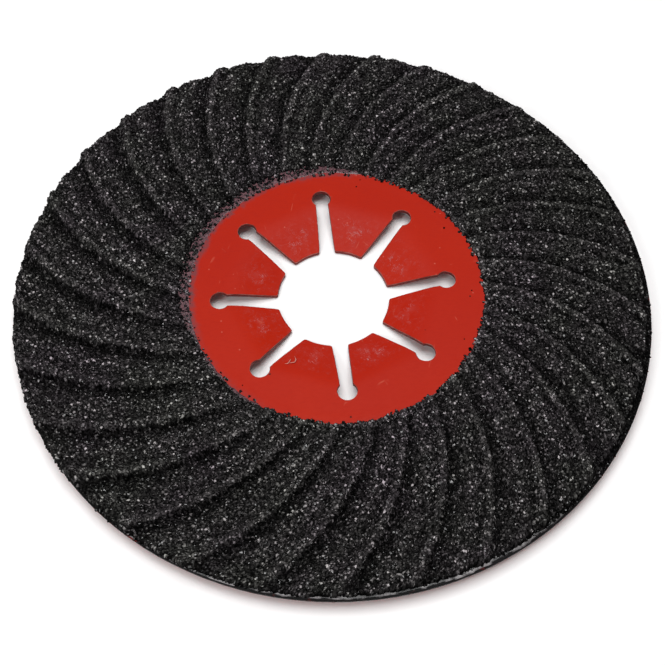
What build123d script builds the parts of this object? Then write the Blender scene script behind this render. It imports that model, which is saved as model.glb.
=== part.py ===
from build123d import *
import os
from math import sin, cos, tan, radians, degrees, pi, hypot, atan2

os.makedirs("parts", exist_ok=True)

# ---------------------------------------------------------------- dimensions
# Semi-flexible abrasive disc, 125 mm x 22.23 mm, grinding face up.
# Origin: on the bore axis, at the level of the lowest points of the disc, which
# are the tips of the eight bent-down tabs. +Z is out of the grinding face.
disc_r = 62.5            # backing sheet, outer radius
bore_r = 11.115          # 22.23 mm arbor hole, measured on the bent tabs
sheet_t = 0.8            # vulcanised fibre backing sheet

n_slots = 8              # keyhole relief slots, one every 45 degrees from +X
relief_hole_r = 1.9      # round end of a slot
relief_hole_at = 22.6    # its centre, from the bore axis
slot_half_out = 1.2      # half width of a slot where it meets its round end
slot_half_in = 1.5       # half width of a slot at the bore
mouth_round = 0.6        # rounding of the two corners of a slot's mouth

tab_slope_deg = 15.7     # how far the tabs are bent down, at rest
tab_gap = 0.02           # clearance of a tab's half-round root

coat_t = 0.15            # resin make coat that bonds the grit to the sheet
coat_out_r = 62.45       # it stops just short of the sheet's edge
bare_r = 29.1            # bare fibre inside this circle
bare_at = (0.74, -0.20)  # the circle is printed slightly off centre

bed_t = 0.60             # grit bed, at the bottom of the grooves
bed_in_r = 29.35
bed_out_r = 61.7
bed_out_at = (-0.62, 0.25)   # pressed off centre: a bare rim strip, widest on the +X and -Y side

n_ridges = 31            # pressed spiral ridges
ridge_h = 1.80           # crest above the grit bed near the rim
ridge_at = (2.87, 0.65)  # centre of the spiral pattern
ridge_turn0_deg = 7.3    # phase of the pattern
ridge_turn1 = 0.6877     # degrees per millimetre of radius, at radius 48
ridge_turn2 = 0.00727    # change of that per millimetre
ridge_in_r = 31.5
ridge_out_r = 61.3       # from the centre of the bed's outer circle
# one ridge across, as fractions of the pitch and height: steep foot, the narrow crest, the hollow
# behind it, the broad land and its gentle foot
ridge_profile = ((0.20, 0.0), (0.06, 1.0), (-0.06, 1.0), (-0.15, 0.50), (-0.46, 0.64), (-0.78, 0.0))

# ------------------------------------------------------------------- helpers
step_deg = 360.0 / n_slots
half = step_deg / 2
hinge_r = relief_hole_at * cos(radians(half))    # chord between two round ends


def slot_side(r, sign):
    """Point on a slot's side, in the frame of the tab beside it (tab along +X)."""
    w = slot_half_out + (relief_hole_at - r) * (slot_half_in - slot_half_out) / (relief_hole_at - bore_r)
    d = (cos(radians(half)), sin(radians(half)))
    n = (-d[1], d[0])
    return (r * d[0] - w * n[0], sign * (r * d[1] - w * n[1]))


def prism(points, z0, z1):
    return Pos(0, 0, z0) * extrude(make_face(Polyline(*points, close=True)), z1 - z0)


def ring_between(r_out, at_out, r_in, at_in, z0, height):
    mid = z0 + height / 2
    return (Pos(at_out[0], at_out[1], mid) * Cylinder(r_out, height)
            - Pos(at_in[0], at_in[1], mid) * Cylinder(r_in, height * 3))


# ---------------------------------------------------------------------- tabs
def make_tab():
    """One leaf between two slots, along +X, with its hinge line at z = 0."""
    leaf = Pos((7 + hinge_r) / 2, 0, 0) * Box(hinge_r - 7, 20, sheet_t)
    leaf += Pos(hinge_r, 0, 0) * Rot(90, 0, 0) * Cylinder(sheet_t / 2, 20)
    outline = [slot_side(24.0, 1), slot_side(6.0, 1), slot_side(6.0, -1), slot_side(24.0, -1)]
    leaf = leaf & prism(outline, -2, 2)
    for sign in (1, -1):
        x = relief_hole_at * cos(radians(half))
        y = sign * relief_hole_at * sin(radians(half))
        leaf -= Pos(x, y, 0) * Cylinder(relief_hole_r, 4)
    bend = Pos(hinge_r, 0, 0) * Rot(0, -tab_slope_deg, 0) * Pos(-hinge_r, 0, 0)
    leaf = bend * leaf
    leaf -= Pos(0, 0, -3) * Cylinder(bore_r, 20)
    corners = [e for e in leaf.edges()
               if e.length < 2 * sheet_t and abs(hypot(e.center().X, e.center().Y) - bore_r) < 0.05
               and abs(e.center().Y) > 1.5]
    if len(corners) == 2:
        leaf = fillet(corners, mouth_round)
    return leaf


tab = make_tab()
z_hinge = -tab.bounding_box().min.Z          # the tips' lowest points are at z = 0
z_back = z_hinge - sheet_t / 2               # back of the flat ring
z_face = z_hinge + sheet_t / 2               # front of the flat ring
print("hinge chord radius", round(hinge_r, 3), "z_back", round(z_back, 3), "z_face", round(z_face, 3))

parts = {}
for k in range(n_slots):
    name = "backing_tab_%d" % (k + 1)
    turn = half + k * step_deg
    parts[name] = Rot(0, 0, turn) * (Pos(0, 0, z_hinge) * tab)
    print(name, "hinge at", [round(hinge_r * cos(radians(turn)), 4), round(hinge_r * sin(radians(turn)), 4), round(z_hinge, 4)],
          "axis", [round(-sin(radians(turn)), 6), round(cos(radians(turn)), 6), 0])

# ---------------------------------------------------------------- flat ring
edge_r = (hinge_r + sheet_t / 2 + tab_gap) / cos(radians(half))
opening = [(edge_r * cos(radians(k * step_deg)), edge_r * sin(radians(k * step_deg))) for k in range(n_slots)]
ring = Pos(0, 0, z_hinge) * Cylinder(disc_r, sheet_t)
ring -= prism(opening, z_back - 1, z_face + 1)
for k in range(n_slots):
    a = radians(k * step_deg)
    ring -= Pos(relief_hole_at * cos(a), relief_hole_at * sin(a), z_hinge) * Cylinder(relief_hole_r, 4)
parts["backing_ring"] = ring

# --------------------------------------------------------- make coat and bed
parts["make_coat"] = ring_between(coat_out_r, (0, 0), bare_r, bare_at, z_face, coat_t)
z_bed = z_face + coat_t
parts["abrasive_bed"] = ring_between(bed_out_r, bed_out_at, bed_in_r, bare_at, z_bed, bed_t)
z_groove = z_bed + bed_t

# -------------------------------------------------------------------- ridges
def spiral_point(phase, r, about=(0.0, 0.0)):
    """Point of the spiral of one phase, at distance r from a centre."""
    lo, hi = r - 6.0, r + 6.0

    def at(rho):
        turn = ridge_turn1 * (rho - 48) + ridge_turn2 / 2 * (rho - 48) ** 2
        th = phase - radians(turn + ridge_turn0_deg)
        return ridge_at[0] + rho * cos(th), ridge_at[1] + rho * sin(th)

    for _ in range(50):
        mid = (lo + hi) / 2
        x, y = at(mid)
        if hypot(x - about[0], y - about[1]) < r:
            lo = mid
        else:
            hi = mid
    return at((lo + hi) / 2)


def ridge_height(r):
    s = min(max((r - 30.0) / 20.0, 0.0), 1.0)
    return ridge_h * (0.12 + 0.88 * s * s * (3 - 2 * s))


def make_ridge(k):
    pitch = 2 * pi / n_ridges
    stations = [ridge_in_r + (ridge_out_r - ridge_in_r) * i / 6 for i in range(7)]
    rows = []
    for r in stations:
        # a station is a circle: about the bare circle's centre inside, about the bed's centre outside
        s = (r - ridge_in_r) / (ridge_out_r - ridge_in_r)
        about = tuple(bare_at[i] * (1 - s) + bed_out_at[i] * s for i in (0, 1))
        row = []
        for t, h in ridge_profile:
            x, y = spiral_point((k + t) * pitch, r, about)
            row.append(Vector(x, y, z_groove + h * ridge_height(r)))
        rows.append(row)
    faces = []

    def tri(a, b, c):
        faces.append(Face(Wire.make_polygon([a, b, c], close=True)))

    for i in range(len(rows) - 1):
        for j in range(len(ridge_profile) - 1):
            a, b, c, d = rows[i][j], rows[i + 1][j], rows[i + 1][j + 1], rows[i][j + 1]
            tri(a, b, c)
            tri(a, c, d)
    faces.append(Face(Wire.make_polygon([r[0] for r in rows] + [r[-1] for r in reversed(rows)], close=True)))
    for row in (rows[0], rows[-1]):
        a, b, c, d, e, f = row
        tri(a, b, c)
        tri(a, c, d)
        tri(a, d, e)
        tri(a, e, f)
    return Solid(Shell(faces))


ridges = [make_ridge(k) for k in range(n_ridges)]
parts["abrasive_ridges"] = Compound(children=ridges)

# -------------------------------------------------------------------- export
for name, shape in parts.items():
    solids = shape.solids()
    export_step(shape if len(solids) > 1 else solids[0], "parts/%s.step" % name)
    bb = shape.bounding_box()
    print(name, len(solids), "solid(s)", "volume %.1f mm3" % sum(s.volume for s in solids),
          "z %.3f..%.3f" % (bb.min.Z, bb.max.Z), "x %.2f..%.2f" % (bb.min.X, bb.max.X), "y %.2f..%.2f" % (bb.min.Y, bb.max.Y))
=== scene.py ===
import bpy
import math
import numpy as np
from mathutils import Matrix, Vector

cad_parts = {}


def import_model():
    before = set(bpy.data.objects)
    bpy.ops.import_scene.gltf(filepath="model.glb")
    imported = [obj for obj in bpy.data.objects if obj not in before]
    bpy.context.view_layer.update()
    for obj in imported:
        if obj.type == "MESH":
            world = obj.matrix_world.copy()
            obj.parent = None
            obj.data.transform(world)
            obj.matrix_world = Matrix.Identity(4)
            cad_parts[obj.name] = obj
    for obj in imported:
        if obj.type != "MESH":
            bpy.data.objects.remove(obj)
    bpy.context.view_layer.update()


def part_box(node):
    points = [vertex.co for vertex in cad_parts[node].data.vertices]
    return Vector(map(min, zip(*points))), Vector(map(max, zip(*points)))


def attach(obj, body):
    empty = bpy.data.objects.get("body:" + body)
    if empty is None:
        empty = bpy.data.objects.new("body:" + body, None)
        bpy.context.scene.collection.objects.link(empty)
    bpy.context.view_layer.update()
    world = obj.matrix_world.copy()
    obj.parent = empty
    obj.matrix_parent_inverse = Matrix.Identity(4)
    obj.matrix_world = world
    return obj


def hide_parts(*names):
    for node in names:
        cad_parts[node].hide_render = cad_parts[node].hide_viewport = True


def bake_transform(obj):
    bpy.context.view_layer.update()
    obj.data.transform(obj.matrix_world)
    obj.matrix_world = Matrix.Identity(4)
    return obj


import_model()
MM = 0.001

# ------------------------------------------------------------------ the frame
ring_lo, ring_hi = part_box("backing_ring")
coat_lo, coat_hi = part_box("make_coat")
bed_lo, bed_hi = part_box("abrasive_bed")
ridge_lo, ridge_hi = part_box("abrasive_ridges")
R_DISC = ring_hi.x / MM                       # 62.5
Z_BACK = ring_lo.z / MM
Z_FACE = ring_hi.z / MM                       # top of the fibre sheet
Z_COAT = coat_hi.z / MM                       # top of the make coat
BED_H = (bed_hi.z - bed_lo.z) / MM            # grit bed
RIDGE_H = (ridge_hi.z - ridge_lo.z) / MM      # ridges above the bed
SHEET_T = Z_FACE - Z_BACK

# the same numbers as the design
N_SLOTS = 8
HOLE_R, HOLE_AT = 1.9, 22.6
SLOT_OUT, SLOT_IN, BORE_R = 1.2, 1.5, 11.115
BARE_R, BARE_AT = 29.1, (0.74, -0.20)
BED_OUT_R, BED_OUT_AT = 61.95, (-0.675, 0.238)
COAT_OUT_R = 62.45
N_RIDGES = 31
SP_AT, SP_TURN0, SP_TURN1, SP_TURN2 = (2.87, 0.65), 7.3, 0.6877, 0.00727
VIEW_TURN = -7.3                              # the camera's side of the disc, about +Z

HALF = math.radians(22.5)


def smooth(x, a, b):
    t = np.clip((np.asarray(x, float) - a) / (b - a), 0, 1)
    return t * t * (3 - 2 * t)


def world(x, y, z):
    """Millimetres, with +Y away from the camera and Z from the sheet's face, to the row frame in metres."""
    a = math.radians(VIEW_TURN)
    return Vector(((x * math.cos(a) - y * math.sin(a)) * MM, (x * math.sin(a) + y * math.cos(a)) * MM, (z + Z_FACE) * MM))


# --------------------------------------------------------------- mesh helpers
def value_noise(x, y, cell, seed):
    """Smooth noise in 0..1, the same wherever it is asked for."""
    rng = np.random.default_rng(seed)
    n = 257
    table = rng.random((n, n))
    u, v = x / cell + 100.37, y / cell + 100.71
    iu, iv = np.floor(u).astype(int), np.floor(v).astype(int)
    fu, fv = u - iu, v - iv
    fu, fv = fu * fu * (3 - 2 * fu), fv * fv * (3 - 2 * fv)
    iu, iv = iu % (n - 1), iv % (n - 1)
    a = table[iu, iv] * (1 - fu) + table[iu + 1, iv] * fu
    b = table[iu, iv + 1] * (1 - fu) + table[iu + 1, iv + 1] * fu
    return a * (1 - fv) + b * fv


def mesh_object(name, co, faces, attrs=None, smooth_shade=True):
    """co in millimetres, faces an (n, 4) or (n, 3) array or a list of such."""
    if not isinstance(faces, list):
        faces = [faces]
    faces = [np.asarray(f, np.int64) for f in faces if len(f)]
    me = bpy.data.meshes.new(name)
    me.vertices.add(len(co))
    me.vertices.foreach_set("co", (np.asarray(co, float) * MM).astype(np.float32).ravel())
    loops = np.concatenate([f.ravel() for f in faces])
    totals = np.concatenate([np.full(len(f), f.shape[1]) for f in faces])
    starts = np.concatenate([[0], np.cumsum(totals)[:-1]])
    me.loops.add(len(loops))
    me.loops.foreach_set("vertex_index", loops.astype(np.int32))
    me.polygons.add(len(totals))
    me.polygons.foreach_set("loop_start", starts.astype(np.int32))
    me.polygons.foreach_set("loop_total", totals.astype(np.int32))
    me.polygons.foreach_set("use_smooth", np.full(len(totals), bool(smooth_shade)))
    for key, val in (attrs or {}).items():
        a = me.attributes.new(key, "FLOAT", "POINT")
        a.data.foreach_set("value", np.asarray(val, np.float32))
    me.update(calc_edges=True)
    me.validate()
    ob = bpy.data.objects.new(name, me)
    bpy.context.scene.collection.objects.link(ob)
    return ob


def compact(co, faces, attrs):
    """Drops the vertices that no face uses."""
    used = np.zeros(len(co), bool)
    for f in faces:
        used[np.asarray(f).ravel()] = True
    new = np.cumsum(used) - 1
    return co[used], [new[np.asarray(f)] for f in faces], {k: v[used] for k, v in attrs.items()}


def grid_faces(n_rows, n_cols, wrap=False):
    i = np.arange(n_rows - 1)[:, None]
    j = np.arange(n_cols if wrap else n_cols - 1)[None]
    jn = (j + 1) % n_cols
    return np.stack([i * n_cols + j, i * n_cols + jn, (i + 1) * n_cols + jn, (i + 1) * n_cols + j], -1).reshape(-1, 4)


# ------------------------------------------------------------------ materials
def new_material(name):
    m = bpy.data.materials.new(name)
    m.use_nodes = True
    nt = m.node_tree
    nt.nodes.clear()
    out = nt.nodes.new("ShaderNodeOutputMaterial")
    p = nt.nodes.new("ShaderNodeBsdfPrincipled")
    nt.links.new(p.outputs[0], out.inputs[0])
    return m, nt, p


def node(nt, kind, **props):
    n = nt.nodes.new(kind)
    for k, v in props.items():
        setattr(n, k, v)
    return n


def put(nt, value, socket):
    if hasattr(value, "is_output"):
        nt.links.new(value, socket)
    else:
        socket.default_value = value


def math_(nt, op, a, b=0.0, clamp=False):
    n = node(nt, "ShaderNodeMath", operation=op, use_clamp=clamp)
    put(nt, a, n.inputs[0])
    put(nt, b, n.inputs[1])
    return n.outputs[0]


def mix_(nt, f, a, b, blend="MIX"):
    n = node(nt, "ShaderNodeMix", data_type="RGBA", blend_type=blend)
    put(nt, f, n.inputs[0])
    for v, s in ((a, n.inputs[6]), (b, n.inputs[7])):
        put(nt, (*v, 1.0) if isinstance(v, tuple) and len(v) == 3 else v, s)
    return n.outputs[2]


def range_(nt, v, a, b, c, d, interp="LINEAR"):
    n = node(nt, "ShaderNodeMapRange", interpolation_type=interp)
    n.clamp = True
    put(nt, v, n.inputs[0])
    for s, x in zip(n.inputs[1:5], (a, b, c, d)):
        s.default_value = x
    return n.outputs[0]


def coords(nt):
    return node(nt, "ShaderNodeTexCoord").outputs["Object"]


def scaled(nt, vec, s):
    n = node(nt, "ShaderNodeMapping")
    put(nt, vec, n.inputs[0])
    n.inputs["Scale"].default_value = s if isinstance(s, tuple) else (s, s, s)
    return n.outputs[0]


def noise_(nt, vec, scale, detail=2.0, rough=0.5, distortion=0.0):
    n = node(nt, "ShaderNodeTexNoise")
    put(nt, vec, n.inputs["Vector"])
    n.inputs["Scale"].default_value = scale
    n.inputs["Detail"].default_value = detail
    n.inputs["Roughness"].default_value = rough
    n.inputs["Distortion"].default_value = distortion
    return n.outputs[0]


def voronoi_(nt, vec, scale, feature="F1", rand=1.0):
    n = node(nt, "ShaderNodeTexVoronoi", feature=feature)
    put(nt, vec, n.inputs["Vector"])
    n.inputs["Scale"].default_value = scale
    n.inputs["Randomness"].default_value = rand
    return n


def attr_(nt, name):
    return node(nt, "ShaderNodeAttribute", attribute_name=name).outputs["Fac"]


def bump_(nt, height, strength, distance, normal=None):
    n = node(nt, "ShaderNodeBump")
    n.inputs["Strength"].default_value = strength
    n.inputs["Distance"].default_value = distance
    put(nt, height, n.inputs["Height"])
    if normal is not None:
        nt.links.new(normal, n.inputs["Normal"])
    return n.outputs[0]


def grit_material(name, shiny):
    m, nt, p = new_material(name)
    c = coords(nt)
    lum, glint = attr_(nt, "lum"), attr_(nt, "glint")
    patch = noise_(nt, c, 85.0, 2.0, 0.6)
    fine = noise_(nt, c, 5600.0, 2.0, 0.7)
    tint = mix_(nt, range_(nt, patch, 0.36, 0.66, 0.0, 1.0), (1.02, 1.00, 0.94), (1.08, 0.94, 1.02))
    body = mix_(nt, 1.0, lum, tint, "MULTIPLY")
    col = mix_(nt, 1.0, body, range_(nt, fine, 0.30, 0.72, 0.55, 1.55), "MULTIPLY")
    nt.links.new(col, p.inputs["Base Color"])
    if shiny:
        rough = math_(nt, "ADD", range_(nt, glint, 0.86, 1.0, 0.28, 0.15), range_(nt, fine, 0.3, 0.7, -0.03, 0.08))
        p.inputs["Specular IOR Level"].default_value = 0.85
    else:
        rough = range_(nt, fine, 0.3, 0.7, 0.60, 0.74)
        p.inputs["Specular IOR Level"].default_value = 0.02
    nt.links.new(rough, p.inputs["Roughness"])
    nt.links.new(bump_(nt, fine, 0.45, 0.00005), p.inputs["Normal"])
    return m


def fibre_material():
    m, nt, p = new_material("vulcanised_fibre_red")
    c = coords(nt)
    scuff, edge, lip, rim, pink = (attr_(nt, k) for k in ("scuff", "edge", "lip", "rim", "pink"))
    cloud = noise_(nt, c, 42.0, 3.0, 0.55)
    grain = noise_(nt, scaled(nt, c, (1.0, 2.6, 1.0)), 900.0, 3.0, 0.6)
    base = mix_(nt, range_(nt, cloud, 0.3, 0.7, 0.0, 1.0), (0.415, 0.0150, 0.0026), (0.385, 0.0130, 0.0036))
    base = mix_(nt, range_(nt, grain, 0.45, 0.8, 0.0, 0.30), base, (0.31, 0.010, 0.006))
    # sparse dark specks, and pale dust
    v = voronoi_(nt, c, 300.0)
    pick = math_(nt, "GREATER_THAN", node_r(nt, v.outputs["Color"]), 0.74)
    speck = math_(nt, "MULTIPLY", pick, range_(nt, v.outputs["Distance"], 0.04, 0.075, 1.0, 0.0))
    base = mix_(nt, speck, base, (0.035, 0.006, 0.004))
    v2 = voronoi_(nt, c, 620.0)
    pick2 = math_(nt, "GREATER_THAN", node_r(nt, v2.outputs["Color"]), 0.86)
    dust = math_(nt, "MULTIPLY", pick2, range_(nt, v2.outputs["Distance"], 0.06, 0.14, 0.40, 0.0))
    base = mix_(nt, dust, base, (0.60, 0.17, 0.12))
    # hair scratches, broken up
    warp = noise_(nt, c, 70.0, 2.0, 0.5)
    v3 = voronoi_(nt, scaled(nt, c, (1.0, 0.35, 1.0)), 150.0, "DISTANCE_TO_EDGE")
    line = range_(nt, v3.outputs["Distance"], 0.004, 0.014, 1.0, 0.0)
    part = range_(nt, noise_(nt, c, 260.0, 2.0, 0.6), 0.60, 0.70, 0.0, 0.28)
    base = mix_(nt, math_(nt, "MULTIPLY", line, part), base, (0.62, 0.16, 0.10))
    # grey scuffs left by a flange: curly broken strokes in a faint haze
    curl = noise_(nt, c, 620.0, 3.0, 0.62, 1.8)
    stroke = range_(nt, math_(nt, "ABSOLUTE", math_(nt, "SUBTRACT", curl, 0.5)), 0.008, 0.034, 1.0, 0.0)
    broken = range_(nt, noise_(nt, c, 900.0, 2.0, 0.6), 0.44, 0.60, 0.0, 1.0)
    haze = math_(nt, "MULTIPLY", range_(nt, noise_(nt, c, 420.0, 3.0, 0.65), 0.42, 0.66, 0.0, 1.0), 0.14)
    marks = math_(nt, "MAXIMUM", math_(nt, "MULTIPLY", stroke, broken), haze)
    mask = math_(nt, "MULTIPLY", scuff, marks, clamp=True)
    base = mix_(nt, mask, base, (0.40, 0.15, 0.15))
    # pinkish smear of resin and dust by the grit
    smear = math_(nt, "MULTIPLY", pink, range_(nt, noise_(nt, c, 1100.0, 3.0, 0.7), 0.30, 0.62, 0.25, 1.0), clamp=True)
    base = mix_(nt, smear, base, (0.120, 0.050, 0.058))
    # cut walls: painted shade, far darker than the face, streaked with paler torn fibre
    torn = range_(nt, noise_(nt, scaled(nt, c, (1.0, 1.0, 4.0)), 1400.0, 3.0, 0.7), 0.35, 0.7, 0.0, 1.0)
    wall = mix_(nt, torn, (0.120, 0.010, 0.008), (0.300, 0.050, 0.042))
    base = mix_(nt, edge, base, wall)
    # painted highlight along the top edge of the cut walls, and the pale colour of the torn strands
    fray_and_edge_highlight = math_(nt, "MULTIPLY", lip, range_(nt, noise_(nt, c, 520.0, 3.0, 0.6), 0.38, 0.62, 0.15, 0.85), clamp=True)
    base = mix_(nt, fray_and_edge_highlight, base, (0.62, 0.30, 0.25))
    dark = mix_(nt, range_(nt, noise_(nt, c, 330.0, 2.0, 0.6), 0.64, 0.74, 0.0, 0.8), (0.0045, 0.0040, 0.0042), (0.13, 0.014, 0.012))
    base = mix_(nt, rim, base, dark)
    nt.links.new(base, p.inputs["Base Color"])
    rough = math_(nt, "ADD", range_(nt, grain, 0.3, 0.7, 0.38, 0.50), math_(nt, "MULTIPLY", mask, 0.2))
    nt.links.new(rough, p.inputs["Roughness"])
    p.inputs["Specular IOR Level"].default_value = 0.08
    b = bump_(nt, cloud, 0.25, 0.0004)
    b = bump_(nt, grain, 0.20, 0.00004, b)
    b = bump_(nt, math_(nt, "MULTIPLY", line, part), 0.4, 0.00003, b)
    nt.links.new(b, p.inputs["Normal"])
    return m


def node_r(nt, colour):
    n = node(nt, "ShaderNodeSeparateColor")
    nt.links.new(colour, n.inputs[0])
    return n.outputs[0]


def coat_material():
    m, nt, p = new_material("phenolic_make_coat")
    c = coords(nt)
    pink, pale = attr_(nt, "pink"), attr_(nt, "pale")
    n1 = noise_(nt, c, 380.0, 3.0, 0.6)
    n2 = noise_(nt, c, 4000.0, 2.0, 0.6)
    # painted reflection: pale grey patches on the black resin along the rim
    lit = math_(nt, "MULTIPLY", range_(nt, n1, 0.44, 0.60, 0.0, 1.0), pale)
    col = mix_(nt, lit, (0.0060, 0.0055, 0.0060), (0.230, 0.215, 0.220))
    speck = range_(nt, n2, 0.46, 0.58, 0.0, 1.0)
    mauve = mix_(nt, speck, (0.150, 0.070, 0.082), (0.010, 0.006, 0.008))
    col = mix_(nt, pink, col, mauve)
    nt.links.new(col, p.inputs["Base Color"])
    nt.links.new(range_(nt, n2, 0.3, 0.7, 0.18, 0.40), p.inputs["Roughness"])
    p.inputs["Specular IOR Level"].default_value = 0.25
    p.inputs["Coat Weight"].default_value = 0.12
    p.inputs["Coat Roughness"].default_value = 0.12
    b = bump_(nt, n1, 0.6, 0.00025)
    nt.links.new(bump_(nt, n2, 0.35, 0.00006, b), p.inputs["Normal"])
    return m


MAT_GRIT, MAT_GLINT = grit_material("grit_dull", False), grit_material("grit_glinting", True)
MAT_FIBRE, MAT_COAT = fibre_material(), coat_material()


# ----------------------------------------------------------------------- grit
def spiral_points(phase, r):
    """The spiral of each phase (radians) at distance r from the axis: x, y."""
    rho = r.copy()
    for _ in range(7):
        turn = SP_TURN1 * (rho - 48) + SP_TURN2 / 2 * (rho - 48) ** 2
        th = phase - np.radians(turn + SP_TURN0)
        x, y = SP_AT[0] + rho * np.cos(th), SP_AT[1] + rho * np.sin(th)
        rho = rho + (r - np.hypot(x, y))
    return x, y


def spiral_phase(x, y):
    """0..1 across a ridge, 0 on its crest."""
    dx, dy = x - SP_AT[0], y - SP_AT[1]
    rho = np.hypot(dx, dy)
    turn = SP_TURN1 * (rho - 48) + SP_TURN2 / 2 * (rho - 48) ** 2
    ph = np.arctan2(dy, dx) + np.radians(turn + SP_TURN0)
    return np.mod(ph / (2 * np.pi / N_RIDGES), 1.0), np.floor(ph / (2 * np.pi / N_RIDGES))


# one ridge across: crest, steep side, groove, broad land, shallow hollow, crest
PROFILE = np.array([(0.00, 1.00), (0.05, 1.00), (0.08, 0.92), (0.11, 0.58), (0.14, 0.22), (0.18, 0.03), (0.24, 0.0), (0.31, 0.08),
                    (0.40, 0.26), (0.50, 0.48), (0.60, 0.64), (0.68, 0.64), (0.76, 0.53), (0.82, 0.45), (0.86, 0.45), (0.90, 0.60),
                    (0.93, 0.82), (0.96, 0.97), (1.0, 1.0)])
# painted shade darkens the grooves and a painted highlight lightens the crests
RIDGE_SHADE_AND_HIGHLIGHT = np.array([(0.00, 1.42), (0.05, 1.48), (0.09, 1.20), (0.13, 0.62), (0.19, 0.24), (0.25, 0.20), (0.31, 0.32), (0.375, 0.50),
                 (0.44, 0.68), (0.50, 0.84), (0.58, 0.98), (0.69, 0.92), (0.75, 0.80), (0.82, 0.68), (0.87, 0.68), (0.91, 0.88),
                 (0.95, 1.15), (1.0, 1.42)])
# how full of resin a groove is, across the pitch
POOL = np.array([(0.0, 0.0), (0.11, 0.0), (0.16, 0.8), (0.20, 1.0), (0.27, 1.0), (0.34, 0.55), (0.44, 0.12), (0.55, 0.0), (1.0, 0.0)])
_zs = np.linspace(-2.7, 2.7, 109)
_cdf = np.array([0.5 * (1 + math.erf(v / math.sqrt(2))) for v in _zs])


def bell(u):
    """Uniform 0..1 to a normal deviate."""
    return np.interp(u, _cdf, _zs)


def view_angle(x, y):
    """Degrees about the axis, 0 to the right of the view and 90 away from it."""
    return np.degrees(np.arctan2(y, x)) - VIEW_TURN


def fringe(x, y):
    """How much of the sparse, smeared border the bare circle has here, 0..1."""
    a = np.mod(view_angle(x, y), 360)
    return smooth(a, 70, 102) * (1 - smooth(a, 182, 216)) + 0.25 * smooth(a, 205, 220) * (1 - smooth(a, 236, 250))


def grit_inner(x, y):
    """Where the dense grit begins, from the centre of the bare circle."""
    return BARE_R + 0.12 + 2.5 * fringe(x, y) + 0.45 * (value_noise(x, y, 1.7, 5) - 0.5) + 0.3 * (value_noise(x, y, 0.7, 6) - 0.5)


def base_height(x, y):
    """Height of the pressed layer above the make coat, before the grains."""
    r = np.hypot(x, y)
    t, k = spiral_phase(x, y)
    prof = np.interp(t, PROFILE[:, 0], PROFILE[:, 1])
    low = value_noise(x, y, 7.0, 11) - 0.5
    mid = value_noise(x, y, 2.6, 12) - 0.5
    ri = np.hypot(x - BARE_AT[0], y - BARE_AT[1]) - BARE_R
    ro = BED_OUT_R - np.hypot(x - BED_OUT_AT[0], y - BED_OUT_AT[1])
    amp = RIDGE_H * 0.97 * (0.02 + 0.98 * smooth(ri, 0.8, 15.0)) * (1 + 0.22 * low)
    bed = (BED_H - 0.12) * (0.16 + 0.84 * smooth(ri, -0.3, 6.5))
    h = bed + amp * np.clip(prof + 0.10 * mid, 0, 1.05) + 0.16 * mid + 0.10 * low
    rim = np.sqrt(np.clip(ro / 1.1, 0, 1))                    # rounds over at the rim
    return np.maximum(h * (0.45 + 0.55 * rim), 0.06)


CELL = 0.275
SPAN = 64.0
N_CELL = int(2 * SPAN / CELL)
_rng = np.random.default_rng(20261)
_cx, _cy = np.meshgrid(np.arange(N_CELL), np.arange(N_CELL), indexing="ij")
SEED_X = (_cx + _rng.random(_cx.shape)) * CELL - SPAN
SEED_Y = (_cy + _rng.random(_cx.shape)) * CELL - SPAN
_r_in = np.hypot(SEED_X - BARE_AT[0], SEED_Y - BARE_AT[1])
_r_out = np.hypot(SEED_X - BED_OUT_AT[0], SEED_Y - BED_OUT_AT[1])
SEED_BASE = base_height(SEED_X, SEED_Y)
SEED_S = 0.102 + 0.122 * _rng.random(_cx.shape) ** 1.3          # half width of a grain
SEED_H = -0.17 + 0.39 * _rng.random(_cx.shape) ** 1.1         # how far it stands up
SEED_TONE = _rng.random(_cx.shape)
SEED_GLINT = _rng.random(_cx.shape)
_slope = 0.05 + 0.60 * _rng.random(_cx.shape) ** 1.2
_az = _rng.random(_cx.shape) * 2 * np.pi
SEED_AX, SEED_AY = _slope * np.cos(_az), _slope * np.sin(_az)  # tilt of the top facet
_az0 = _rng.random(_cx.shape) * 2 * np.pi
SIDES = []
for _k in range(4):
    _a = _az0 + _k * np.pi / 2 + (_rng.random(_cx.shape) - 0.5) * 0.9
    _m = 1.1 + 2.0 * _rng.random(_cx.shape)
    _f = 0.75 + 0.5 * _rng.random(_cx.shape)
    SIDES.append((np.cos(_a), np.sin(_a), _m, _f))
_dense = (_r_in > grit_inner(SEED_X, SEED_Y)) & (_r_out < BED_OUT_R - 0.18 - 0.35 * _rng.random(_cx.shape))
_sparse_p = fringe(SEED_X, SEED_Y) * smooth(_r_in, BARE_R - 0.5, BARE_R + 2.4) * 0.30
_sparse = (_r_in < grit_inner(SEED_X, SEED_Y) + 0.05) & (_rng.random(_cx.shape) < _sparse_p)
_stray = (_r_in < BARE_R + 0.1) & (_r_in > BARE_R - 0.5) & (_rng.random(_cx.shape) < 0.10)
_va = np.mod(view_angle(SEED_X, SEED_Y) + 180, 360) - 180
_va = np.mod(_va, 360)
_strip = smooth(_va, 214, 232) * (1 - smooth(_va, 304, 322))
_edge_r = 62.25 - 0.50 * _strip - 0.18 * _rng.random(_cx.shape)
_edge = ~_dense & (_r_out > BED_OUT_R - 0.8) & (np.hypot(SEED_X, SEED_Y) < _edge_r) & (_rng.random(_cx.shape) < 0.90)
SEED_ON = _dense | _sparse | _stray | _edge
_small = _sparse | _stray | _edge
SEED_S = np.where(_small, 0.08 + 0.11 * _rng.random(_cx.shape), SEED_S)
SEED_H = np.where(_small, 0.06 + 0.14 * _rng.random(_cx.shape), SEED_H)
SEED_BASE = np.where(_small, 0.0, SEED_BASE)


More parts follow.
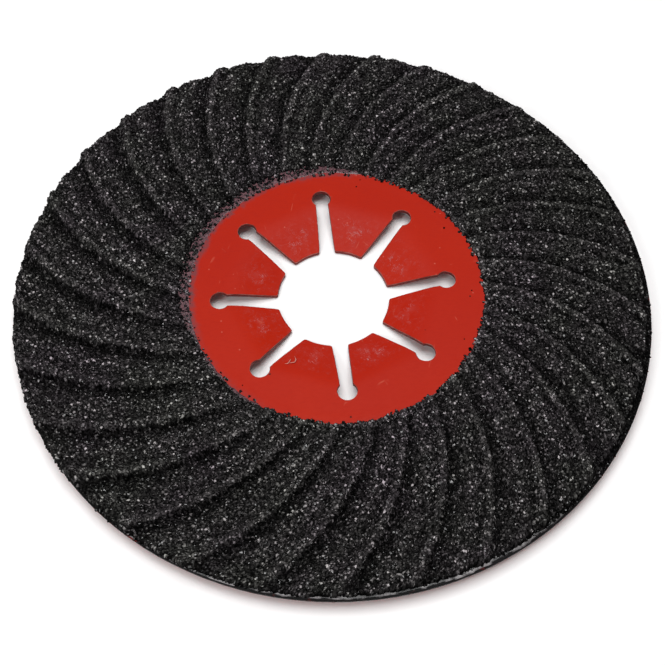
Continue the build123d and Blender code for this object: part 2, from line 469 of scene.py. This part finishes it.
def grit_surface(x, y):
    """Height above the make coat, and how pale and how glassy the facet that shows is."""
    ix = np.floor((x + SPAN) / CELL).astype(int)
    iy = np.floor((y + SPAN) / CELL).astype(int)
    best = np.full(x.shape, -9.0)
    tone = np.zeros(x.shape)
    glint = np.zeros(x.shape)
    top = np.zeros(x.shape, bool)
    for di in (-1, 0, 1):
        for dj in (-1, 0, 1):
            i, j = np.clip(ix + di, 0, N_CELL - 1), np.clip(iy + dj, 0, N_CELL - 1)
            dx, dy = x - SEED_X[i, j], y - SEED_Y[i, j]
            s = SEED_S[i, j]
            z = SEED_AX[i, j] * dx + SEED_AY[i, j] * dy
            facet = np.zeros(x.shape)
            for q, (ca, sa, m, f) in enumerate(SIDES):
                side = m[i, j] * (s * f[i, j] - (ca[i, j] * dx + sa[i, j] * dy))
                lower = side < z
                z = np.where(lower, side, z)
                facet = np.where(lower, q + 1.0, facet)
            z = np.where(SEED_ON[i, j], z + SEED_BASE[i, j] + SEED_H[i, j], -9.0)
            up = z > best
            best = np.where(up, z, best)
            tone = np.where(up, np.mod(SEED_TONE[i, j] + 0.6180 * facet, 1.0), tone)
            glint = np.where(up, np.mod(SEED_GLINT[i, j] + 0.3819 * facet, 1.0), glint)
            top = np.where(up, facet == 0, top)
    ri = np.hypot(x - BARE_AT[0], y - BARE_AT[1])
    ro = np.hypot(x - BED_OUT_AT[0], y - BED_OUT_AT[1])
    inside = (ri > grit_inner(x, y) + 0.15) & (ro < BED_OUT_R - 0.5)
    base = base_height(x, y)
    t, _ = spiral_phase(x, y)
    strength = smooth(ri, 1.0, 9.0)
    pool = np.interp(t, POOL[:, 0], POOL[:, 1]) * strength * 0.70 * (0.55 + 0.9 * value_noise(x, y, 3.1, 21))
    fill = np.maximum(base - 0.42 + 0.44 * np.clip(pool, 0, 1.05), 0.03)
    resin = inside & (fill > best)
    best = np.where(resin, fill, best)
    # painted shade in the grooves and painted highlight on the crests, fading out towards the bare circle
    ridge_shade_and_highlight = 1 + (np.interp(t, RIDGE_SHADE_AND_HIGHLIGHT[:, 0], RIDGE_SHADE_AND_HIGHLIGHT[:, 1]) - 1) * strength * 0.82
    crest = np.clip((ridge_shade_and_highlight - 1.1) / 0.4, 0, 1)
    # crest grains: less spread of tone, and made lighter by the painted highlight
    lum = 0.0100 * np.exp((1.50 - 0.45 * crest) * bell(tone)) * ridge_shade_and_highlight * (1 + 0.5 * crest)
    # painted light: top facets lighter and side facets darker; painted shade on grain faces sunk below the pressed
    # layer
    lum = lum * np.where(top, 1.35, 0.80) * (0.14 + 0.86 * smooth(best - base, -0.34, 0.04))
    lum = lum * (1 + 1.1 * (ri < BARE_R + 0.9))                   # painted glint: the grains round the bare fibre are made lighter
    lum = np.where(resin, 0.0009, lum)
    glint = np.where(resin, 0.0, glint)
    return best, np.clip(lum, 0.0006, 0.42), glint


def build_grit():
    n_c, n_r = ((120, 340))
    pitch = 2 * np.pi / N_RIDGES
    made = []
    for k in range(N_RIDGES):
        t = (k + 0.20 + np.linspace(0, 1, n_c)) * pitch
        r = np.linspace(28.3, 63.1, n_r)
        T, R = np.meshgrid(t, r, indexing="xy")
        x, y = spiral_points(T.ravel(), R.ravel())
        h, lum, glint = grit_surface(x, y)
        co = np.stack([x, y, Z_COAT + np.maximum(h, -0.12)], 1)
        co[:, 2] = np.minimum(co[:, 2], ridge_hi.z / MM + 0.35)
        f = grid_faces(n_r, n_c)
        keep = (h[f] > -0.03).any(1)
        f = f[keep][:, ::-1]
        co, f2, at = compact(co, [f], {"lum": lum, "glint": glint})
        f2 = f2[0]
        # split each cell on the diagonal that suits its heights
        z = co[:, 2][f2]
        d = np.abs(z[:, 0] - z[:, 2]) < np.abs(z[:, 1] - z[:, 3])
        tri = np.concatenate([f2[d][:, [0, 1, 2]], f2[d][:, [0, 2, 3]], f2[~d][:, [0, 1, 3]], f2[~d][:, [1, 2, 3]]])
        ob = mesh_object("grit_ridge_%02d" % (k + 1), co, tri, at, smooth_shade=False)
        ob.data.materials.append(MAT_GRIT)
        ob.data.materials.append(MAT_GLINT)
        shiny = at["glint"][tri].min(1) > 0.86
        ob.data.polygons.foreach_set("material_index", shiny.astype(np.int32))
        made.append(ob)
    return made


# ------------------------------------------------------------- fibre backing
CHORD = 21.9                    # where the ring piece and the tab pieces meet
BEND_END, BEND_SLOPE = 16.4, math.tan(math.radians(18.3))


def bend_drop(x):
    """How far the face of a tab is below the ring's face, at distance x along the tab's middle line."""
    t = np.clip((CHORD - x) / (CHORD - BEND_END), 0, 1)
    inside = (CHORD - BEND_END) * BEND_SLOPE * (t ** 3 - t ** 4 / 2)
    beyond = np.clip(BEND_END - x, 0, None) * BEND_SLOPE
    return inside + beyond


def slot_w(r):
    return SLOT_OUT + (HOLE_AT - r) * (SLOT_IN - SLOT_OUT) / (HOLE_AT - BORE_R)


def tab_side(n_line, n_arc):
    """The tab's +Y side from the bore to the chord, as x, y."""
    d = np.array([math.cos(HALF), math.sin(HALF)])
    n = np.array([-d[1], d[0]])
    r0 = math.sqrt(BORE_R ** 2 - SLOT_IN ** 2)
    rj = HOLE_AT - math.sqrt(HOLE_R ** 2 - SLOT_OUT ** 2)
    r = np.linspace(r0, rj, n_line)
    line = r[:, None] * d - slot_w(r)[:, None] * n
    c = HOLE_AT * d
    j = line[-1] - c
    a0 = math.atan2(j[1], j[0])
    a1 = -math.acos((CHORD - c[0]) / HOLE_R)
    a = np.linspace(a0, a1, n_arc + 1)[1:]
    arc = c + HOLE_R * np.stack([np.cos(a), np.sin(a)], 1)
    return np.concatenate([line, arc])


def scuffed(x, y, seed):
    """Where a flange has rubbed one tab, in its own frame, 0..1."""
    rng = np.random.default_rng(900 + seed)
    out = np.zeros(x.shape)
    for _ in range(3):
        cx, cy = 15.2 + 1.5 * (rng.random() - 0.4), (rng.random() - 0.5) * 2.6
        sx, sy = 0.9 + 0.9 * rng.random(), 0.8 + 1.0 * rng.random()
        a = rng.random() * math.pi
        dx, dy = x - cx, y - cy
        u, v = dx * math.cos(a) + dy * math.sin(a), -dx * math.sin(a) + dy * math.cos(a)
        out = np.maximum(out, (0.55 + 0.45 * rng.random()) * np.exp(-(u / sx) ** 2 - (v / sy) ** 2))
    return np.clip(out + 0.16 * (1 - smooth(x, 17.0, 20.0)), 0, 1)


def bare_pink(x, y):
    """Smeared border on the fibre, in the row frame."""
    r = np.hypot(x - BARE_AT[0], y - BARE_AT[1])
    n = 0.9 * (value_noise(x, y, 1.4, 31) - 0.5) + 0.5 * (value_noise(x, y, 0.5, 32) - 0.5)
    full = smooth(r + n, BARE_R - 1.15, BARE_R - 0.05) * np.clip(fringe(x, y) * 1.25, 0, 1)
    thin = 0.55 * smooth(r + n * 0.4, BARE_R - 0.55, BARE_R + 0.1)
    return np.clip(np.maximum(full, thin * 0.35), 0, 1)


def build_tab(k):
    """Tab k between two slots: the bent leaf, from the chord to the bore."""
    n_line, n_arc, n_c = ((64, 14, 73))
    side = tab_side(n_line, n_arc)
    rows = len(side)
    xb, yb = side[:, 0], side[:, 1]
    # round the mouth's corner
    c = np.linspace(-1, 1, n_c)
    sig = (xb - xb[0]) / (xb[-1] - xb[0])
    Y = c[None] * yb[:, None]
    y0 = c * yb[0]
    arc = np.sqrt(BORE_R ** 2 - y0 ** 2) - xb[0]
    X = xb[:, None] + arc[None] * (1 - sig[:, None]) ** 3
    corner = np.clip((np.abs(y0) - (yb[0] - 0.55)) / 0.55, 0, 1) ** 2 * 0.22
    X = X + corner[None] * (1 - sig[:, None]) ** 8
    a = HALF + k * math.pi / 4
    ca, sa = math.cos(a), math.sin(a)
    wx, wy = X * ca - Y * sa, X * sa + Y * ca
    wav = 0.035 * (value_noise(wx, wy, 3.1, 41) - 0.5) * smooth(CHORD - X, 0.3, 2.0)
    zt = Z_FACE - bend_drop(X) + wav
    zb = zt - SHEET_T * np.sqrt(1 + (np.gradient(bend_drop(xb), xb) ** 2))[:, None]
    zb = np.maximum(zb, 0.0)
    torn = 0.05 * (value_noise(wx, wy, 0.45, 42) - 0.5)          # the cut edge isn't quite straight
    inset = 0.055
    e = np.zeros(X.shape, bool)
    e[:, 0] = e[:, -1] = e[0] = True
    # inward direction for the edge vertices
    ny = np.zeros(X.shape)
    nx = np.zeros(X.shape)
    ny[:, 0], ny[:, -1] = 1, -1
    nx[0] = 1
    ln = np.hypot(nx, ny) + 1e-9
    nx, ny = nx / ln, ny / ln
    Xi, Yi = X + nx * inset, Y + ny * inset
    # loops around the free edge: down one side, along the bore, up the other side
    loop = [(i, 0) for i in range(rows - 1, -1, -1)] + [(0, j) for j in range(1, n_c)] + [(i, n_c - 1) for i in range(1, rows)]
    li = np.array([p[0] for p in loop])
    lj = np.array([p[1] for p in loop])
    top = np.stack([Xi, Yi, zt], -1).reshape(-1, 3)
    wall = []
    levels = (-0.04, -0.13, -0.50, None)
    for lv in levels:
        z = zt[li, lj] + lv if lv is not None else zb[li, lj] + 0.05
        o = torn[li, lj] * (1 if lv is not None else 0.3)
        wall.append(np.stack([X[li, lj] + nx[li, lj] * o, Y[li, lj] + ny[li, lj] * o, z], -1))
    bot = np.stack([Xi, Yi, zb], -1).reshape(-1, 3)
    co = np.concatenate([top] + wall + [bot])
    n_top, n_loop = rows * n_c, len(loop)
    faces = [grid_faces(rows, n_c)]
    ring_ids = [li * n_c + lj] + [n_top + q * n_loop + np.arange(n_loop) for q in range(len(levels))] + [n_top + len(levels) * n_loop + li * n_c + lj]
    for q in range(len(ring_ids) - 1):
        u, v = ring_ids[q], ring_ids[q + 1]
        faces.append(np.stack([u[:-1], u[1:], v[1:], v[:-1]], 1))
    bottom = grid_faces(rows, n_c)[:, ::-1] + n_top + len(levels) * n_loop
    faces.append(bottom)
    # orientation: top faces must look up
    faces = [np.concatenate(faces)]
    f = faces[0]
    v0, v1, v3 = co[f[0, 0]], co[f[0, 1]], co[f[0, 3]]
    if np.cross(v1 - v0, v3 - v0)[2] < 0:
        faces = [f[:, ::-1]]
    x, y = co[:, 0] * ca - co[:, 1] * sa, co[:, 0] * sa + co[:, 1] * ca
    # how much of the painted wall shade a vertex takes
    edge = np.zeros(len(co))
    edge[n_top:n_top + len(levels) * n_loop] = 1.0
    edge[:n_top][e.ravel()] = 0.10
    # painted edge highlight: full on the first wall row, half on the top edge row
    lip = np.zeros(len(co))
    lip[n_top:n_top + n_loop] = 1.0
    lip[:n_top][e.ravel()] = 0.50
    scuff = scuffed(co[:, 0], co[:, 1], k)
    scuff[n_top:] = 0
    co = np.stack([x, y, co[:, 2]], 1)
    ob = mesh_object("fibre_tab_%d" % (k + 1), co, faces,
                     {"scuff": scuff, "edge": edge, "lip": lip, "rim": np.zeros(len(co)), "pink": np.zeros(len(co))})
    ob.data.materials.append(MAT_FIBRE)
    return ob


def ring_inner():
    """Inner outline of the ring piece, round once: chords and the outer part of each round slot end."""
    n_arc, n_chord = ((26, 24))
    pts = []
    c0 = math.cos(HALF) * HOLE_AT
    a1 = math.acos((CHORD - c0) / HOLE_R)
    for k in range(N_SLOTS):
        base = k * math.pi / 4
        # the round end, from the chord before the slot to the chord after it
        lim = math.pi / 2 + HALF - (math.pi / 2 - (a1 - 0))      # angle from the slot's own direction
        lim = a1 + HALF
        a = np.linspace(-lim, lim, 2 * n_arc + 1)
        px = HOLE_AT + HOLE_R * np.cos(a)
        py = HOLE_R * np.sin(a)
        pts.append(np.stack([px * math.cos(base) - py * math.sin(base), px * math.sin(base) + py * math.cos(base)], 1))
        p0 = pts[-1][-1]
        nb = base + math.pi / 4
        q = np.array([HOLE_AT + HOLE_R * math.cos(-lim), HOLE_R * math.sin(-lim)])
        p1 = np.array([q[0] * math.cos(nb) - q[1] * math.sin(nb), q[0] * math.sin(nb) + q[1] * math.cos(nb)])
        s = np.linspace(0, 1, n_chord + 1)[1:-1, None]
        pts.append(p0 + (p1 - p0) * s)
    return np.concatenate(pts)


def build_ring():
    inner = ring_inner()
    ang = np.unwrap(np.arctan2(inner[:, 1], inner[:, 0]))
    rin = np.hypot(inner[:, 0], inner[:, 1])
    n = len(inner)
    outer_r = R_DISC
    # a row every so often, close together where the sheet is bare
    fr = np.concatenate([[0.0], np.linspace(0.0022, 0.26, 20), [0.5, 0.8, 0.93, 0.945, 0.96, 0.98, 1.0]])
    rows_top = [rin + (outer_r - 0.12 - rin) * f for f in fr]
    d_in = 0.055
    rows_top[0] = rin + d_in * 0
    R = np.array(rows_top)
    X, Y = R * np.cos(ang), R * np.sin(ang)
    is_chord = np.abs(np.mod(np.degrees(ang), 45) - 22.5) < 17.6
    zt = np.full(X.shape, Z_FACE)
    flat = smooth(R - rin, 0.4, 2.0)
    zt = zt + 0.03 * (value_noise(X, Y, 3.3, 43) - 0.5) * flat
    # faint raised band where the press held the sheet
    rb = np.hypot(X - BARE_AT[0], Y - BARE_AT[1])
    zt = zt + 0.022 * smooth(rb, 27.1, 27.4) * flat
    co, attrs_edge, attrs_rim = [np.stack([X, Y, zt], -1).reshape(-1, 3)], [np.zeros(X.size)], [smooth(R, 59.8, 60.4).ravel()]
    nr = len(R)
    ids = [np.arange(nr * n).reshape(nr, n)]
    faces = [grid_faces(nr, n, wrap=True)]

    def add_row(rr, z, edge, rim):
        start = sum(len(c) for c in co)
        co.append(np.stack([rr * np.cos(ang), rr * np.sin(ang), np.broadcast_to(z, rr.shape)], -1))
        attrs_edge.append(np.full(n, edge))
        attrs_rim.append(np.full(n, rim))
        return start + np.arange(n)

    def bridge(u, v):
        faces.append(np.stack([u, np.roll(u, -1), np.roll(v, -1), v], 1))

    # outer edge, over and down
    wob = 0.05 * (value_noise(62 * np.cos(ang), 62 * np.sin(ang), 1.1, 44) - 0.5)
    last = ids[0][-1]
    prev = last
    for dr, z, rim in ((-0.05, Z_FACE - 0.02, 1.0), (0.0, Z_FACE - 0.09, 1.0), (0.0, Z_BACK + 0.25, 1.0), (-0.02, Z_BACK + 0.08, 1.0), (-0.12, Z_BACK, 0.8)):
        row = add_row(np.full(n, outer_r) + dr + np.minimum(wob, 0), z, 0.0, rim)
        bridge(prev, row)
        prev = row
    back = [add_row(rin + (outer_r - rin) * f, Z_BACK, 0.0, 0.0) for f in (0.985, 0.6, 0.3, 0.1, 0.004)]
    for row in back:
        bridge(prev, row)
        prev = row
    low = add_row(rin, Z_BACK, 1.0, 0.0)
    bridge(prev, low)
    # walls of the round slot ends only; along the chords the tab pieces go on
    first = ids[0][0]
    w = [first, add_row(rin, Z_FACE - 0.04, 1.0, 0.0), add_row(rin, Z_FACE - 0.13, 1.0, 0.0), add_row(rin, Z_FACE - 0.45, 1.0, 0.0),
         add_row(rin, Z_BACK + 0.05, 1.0, 0.0), low]
    hole = ~is_chord
    hn = hole & np.roll(hole, -1)
    for u, v in zip(w[:-1], w[1:]):
        q = np.stack([v, np.roll(v, -1), np.roll(u, -1), u], 1)
        faces.append(q[hn])
    co = np.concatenate(co)
    at = {"edge": np.concatenate(attrs_edge), "rim": np.concatenate(attrs_rim)}
    # how much of the painted wall shade a vertex takes
    e0 = at["edge"]
    e0[first[hole]] = 0.10
    # painted edge highlight: full on the first wall row, half on the top edge row
    at["lip"] = np.zeros(len(co))
    at["lip"][w[1]] = 1.0
    at["lip"][first[hole]] = 0.50
    f = np.concatenate(faces)
    v0, v1, v3 = co[f[0, 0]], co[f[0, 1]], co[f[0, 3]]
    if np.cross(v1 - v0, v3 - v0)[2] < 0:
        f = f[:, ::-1]
    at["scuff"] = np.zeros(len(co))
    at["pink"] = bare_pink(co[:, 0], co[:, 1]) * (co[:, 2] > Z_FACE - 0.04)
    co, ff, at = compact(co, [f], at)
    ob = mesh_object("fibre_ring", co, ff, at)
    ob.data.materials.append(MAT_FIBRE)
    return ob


def build_coat():
    """The resin film: it shows at the rim, and by the bare circle where the grit is thin."""
    n = 1260
    ang = np.linspace(0, 2 * np.pi, n, endpoint=False)
    rows = np.concatenate([np.arange(28.6, 33.2, 0.17), [40, 50, 59.5], np.arange(60.6, 62.46, 0.09)])
    A, R = np.meshgrid(ang, rows)
    x, y = R * np.cos(A), R * np.sin(A)
    ri = np.hypot(x - BARE_AT[0], y - BARE_AT[1])
    edge_out = COAT_OUT_R - 0.08 - 0.30 * (value_noise(x, y, 1.9, 51)) * (value_noise(x, y, 6.0, 52) > 0.35)
    thick = (Z_COAT - Z_FACE)
    lump = value_noise(x, y, 0.55, 53) * 0.6 + value_noise(x, y, 0.23, 54) * 0.4
    h = thick * (0.45 + 0.75 * lump)
    inner = BARE_R + 0.15 + 0.5 * (value_noise(x, y, 1.2, 55) - 0.5) - 0.1 * fringe(x, y)
    h = h * smooth(ri, inner - 0.15, inner + 0.5) * (0.45 + 0.55 * (1 - fringe(x, y) * (ri < BARE_R + 3)))
    h = h * (1 - smooth(R, edge_out - 0.25, edge_out + 0.02))
    co = np.stack([x, y, Z_FACE - 0.03 + (h + 0.03) * (h > 0.004) - 0.03 * (h <= 0.004)], -1).reshape(-1, 3)
    f = grid_faces(len(rows), n, wrap=True)
    keep = (h.ravel()[f] > 0.004).any(1)
    pink = (fringe(x, y) * (1 - smooth(ri, BARE_R + 2.2, BARE_R + 4.0)) + 0.6 * (ri < BARE_R + 1.2)).clip(0, 1).ravel()
    va = np.mod(view_angle(x, y), 360)
    # where the painted reflection lies: the outer rim on the side towards the camera
    pale = (smooth(va, 218, 240) * (1 - smooth(va, 298, 318)) * (ri > 50)).ravel()
    co, ff, at = compact(co, [f[keep]], {"pink": pink, "pale": pale})
    g = ff[0]
    v0, v1, v3 = co[g[0, 0]], co[g[0, 1]], co[g[0, 3]]
    if np.cross(v1 - v0, v3 - v0)[2] < 0:
        g = g[:, ::-1]
    ob = mesh_object("resin_make_coat", co, g, at)
    ob.data.materials.append(MAT_COAT)
    return ob


BURR_TAB = 5                                  # the tab, counted from 0, with a torn fibre strand


def strand(name, pts, radius, sides=7):
    """A thin tapered strand through points in millimetres, ends closed."""
    p = np.asarray(pts, float)
    u = np.concatenate([[0], np.cumsum(np.linalg.norm(np.diff(p, axis=0), axis=1))])
    n = 40
    v = np.linspace(0, u[-1], n)
    q = np.stack([np.interp(v, u, p[:, i]) for i in range(3)], 1)
    for _ in range(3):
        q[1:-1] = (q[:-2] + 2 * q[1:-1] + q[2:]) / 4
    t = np.gradient(q, axis=0)
    t /= np.linalg.norm(t, axis=1)[:, None]
    a = np.cross(t, [0, 0, 1.0])
    a /= np.linalg.norm(a, axis=1)[:, None]
    b = np.cross(a, t)
    rad = radius * (0.35 + 0.65 * np.sin(np.linspace(0.25, math.pi - 0.25, n))) * (0.85 + 0.3 * value_noise(v, v, 0.4, 61))
    th = np.linspace(0, 2 * np.pi, sides, endpoint=False)
    co = q[:, None] + rad[:, None, None] * (np.cos(th)[None, :, None] * a[:, None] + 0.6 * np.sin(th)[None, :, None] * b[:, None])
    co = co.reshape(-1, 3)
    caps = np.array([[0, i, i + 1] for i in range(1, sides - 1)])
    f = grid_faces(n, sides, wrap=True)
    full = np.ones(len(co))
    ob = mesh_object(name, co, [f, caps[:, ::-1], caps + (n - 1) * sides],
                     {"scuff": 0 * full, "edge": 0 * full, "lip": full, "rim": 0 * full, "pink": 0 * full})
    ob.data.materials.append(MAT_FIBRE)
    return ob


def build_burr():
    """Two ends of a torn strand at the side of a slot."""
    a = HALF + BURR_TAB * math.pi / 4
    made = []
    for i, run in enumerate((((-11.15, -15.30, 0.05), (-10.60, -15.40, 0.14), (-10.15, -14.85, 0.24), (-9.90, -14.20, 0.10)),
                             ((-10.20, -15.20, 0.10), (-9.65, -15.26, 0.26), (-9.20, -15.20, 0.30), (-8.95, -14.55, 0.24), (-9.02, -13.95, 0.14), (-9.15, -13.45, 0.05)))):
        pts = []
        for x, y, up in run:
            along = x * math.cos(a) + y * math.sin(a)
            pts.append((x, y, Z_FACE - float(bend_drop(along)) + up))
        made.append(strand("torn_strand_%d" % (i + 1), pts, 0.095))
    return made


def build_crumbs():
    """Loose grains that stuck to the bare fibre."""
    rng = np.random.default_rng(77)
    co, faces = [], []
    for x, y, size in ((24.22, 12.43, 0.24), (8.65, 26.56, 0.15), (27.2, -3.1, 0.16), (-19.5, -19.2, 0.14), (7.64, 24.9, 0.15), (23.8, -13.9, 0.13)):
        th = np.sort(rng.random(6)) * 0.35 + np.arange(6) * math.pi / 3
        start = len(co)
        for ring_r, z in ((1.0, -0.02), (0.85, 0.55), (0.35, 0.95)):
            for k in range(6):
                rr = size * ring_r * (0.8 + 0.35 * rng.random())
                co.append((x + rr * math.cos(th[k]), y + rr * math.sin(th[k]), Z_FACE + size * z * (0.9 + 0.2 * rng.random())))
        for lv in range(2):
            for k in range(6):
                p, q = start + lv * 6 + k, start + lv * 6 + (k + 1) % 6
                faces += [(p, q, q + 6), (p, q + 6, p + 6)]
        for k in range(1, 5):
            faces.append((start + 12, start + 12 + k, start + 12 + k + 1))
            faces.append((start, start + k + 1, start + k))
    n = len(co)
    ob = mesh_object("loose_grains", np.array(co), np.array(faces), {"lum": np.full(n, 0.004), "glint": np.zeros(n)}, smooth_shade=False)
    ob.data.materials.append(MAT_GRIT)
    return ob


# -------------------------------------------------------------- camera, light
EL, ROLL, DIST, F_PX, AIM = 1.046, -0.015, 215.0, 1110.0, (-0.0975, -9.745)
back = np.array([0.0, -math.cos(EL), math.sin(EL)])
fwd = -back
right = np.cross(fwd, [0, 0, 1.0])
right /= np.linalg.norm(right)
down = np.cross(fwd, right)
cr, sr = math.cos(ROLL), math.sin(ROLL)
r2, d2 = cr * right + sr * down, -sr * right + cr * down
eye = np.array([AIM[0], AIM[1], 0.0]) + back * DIST
turn = Matrix.Rotation(math.radians(VIEW_TURN), 3, "Z")
rot = turn @ Matrix((r2, -d2, back)).transposed()
cam = bpy.data.cameras.new("camera")
cam.sensor_fit = "HORIZONTAL"
cam.sensor_width = 36.0
cam.lens = F_PX * 36.0 / 665.0
cam.clip_start, cam.clip_end = 0.005, 20.0
cam_ob = bpy.data.objects.new("camera", cam)
cam_ob.matrix_world = Matrix.Translation(world(*eye)) @ rot.to_4x4()
bpy.context.scene.collection.objects.link(cam_ob)
bpy.context.scene.camera = cam_ob


def area(name, at, to, size, power, colour=(1, 1, 1), size_y=None):
    li = bpy.data.lights.new(name, "AREA")
    li.energy = power
    li.color = colour
    li.shape = "RECTANGLE"
    li.size = size
    li.size_y = size_y or size
    ob = bpy.data.objects.new(name, li)
    p, q = world(*at), world(*to)
    ob.matrix_world = Matrix.Translation(p) @ (p - q).to_track_quat("Z", "Y").to_matrix().to_4x4()
    bpy.context.scene.collection.objects.link(ob)
    return ob


area("overhead_soft", (-25, 62, 820), (0, 0, 0), 0.60, 6.3)
area("front_left", (-260, -280, 380), (0, 0, 0), 0.14, 0.55)

scene = bpy.context.scene
w = bpy.data.worlds.new("world")
w.use_nodes = True
w.node_tree.nodes["Background"].inputs[0].default_value = (1, 1, 1, 1)
_wn = w.node_tree
_wc = _wn.nodes.new("ShaderNodeTexCoord")
_ws = _wn.nodes.new("ShaderNodeSeparateXYZ")
_wn.links.new(_wc.outputs["Generated"], _ws.inputs[0])
_wn.links.new(range_(_wn, _ws.outputs["Z"], 0.06, 0.26, 0.86, 0.23), _wn.nodes["Background"].inputs[1])
scene.world = w
scene.view_settings.view_transform = "Standard"
scene.view_settings.look = "None"

# floor
fm, fnt, fp = new_material("floor_paper")
fp.inputs["Base Color"].default_value = (0.94, 0.94, 0.94, 1)
fp.inputs["Roughness"].default_value = 0.75
fp.inputs["Specular IOR Level"].default_value = 0.2
fn = 41
g = np.linspace(-1500, 1500, fn)
gx, gy = np.meshgrid(g, g)
floor = mesh_object("floor", np.stack([gx, gy, np.full(gx.shape, -0.02)], -1).reshape(-1, 3), grid_faces(fn, fn))
floor.data.materials.append(fm)

# ------------------------------------------------------------------- assemble
ring = build_ring()
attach(ring, "backing")
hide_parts("backing_ring")

for k in range(N_SLOTS):
    ob = build_tab(k)
    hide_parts("backing_tab_%d" % (k + 1))
    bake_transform(ob)

coat = build_coat()
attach(coat, "backing")
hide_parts("make_coat")

for ob in build_burr():
    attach(ob, "tab_%d" % (BURR_TAB + 1))
crumbs = build_crumbs()
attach(crumbs, "backing")

grit = build_grit()
for ob in grit:
    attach(ob, "backing")
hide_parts("abrasive_bed", "abrasive_ridges")

bpy.context.view_layer.update()
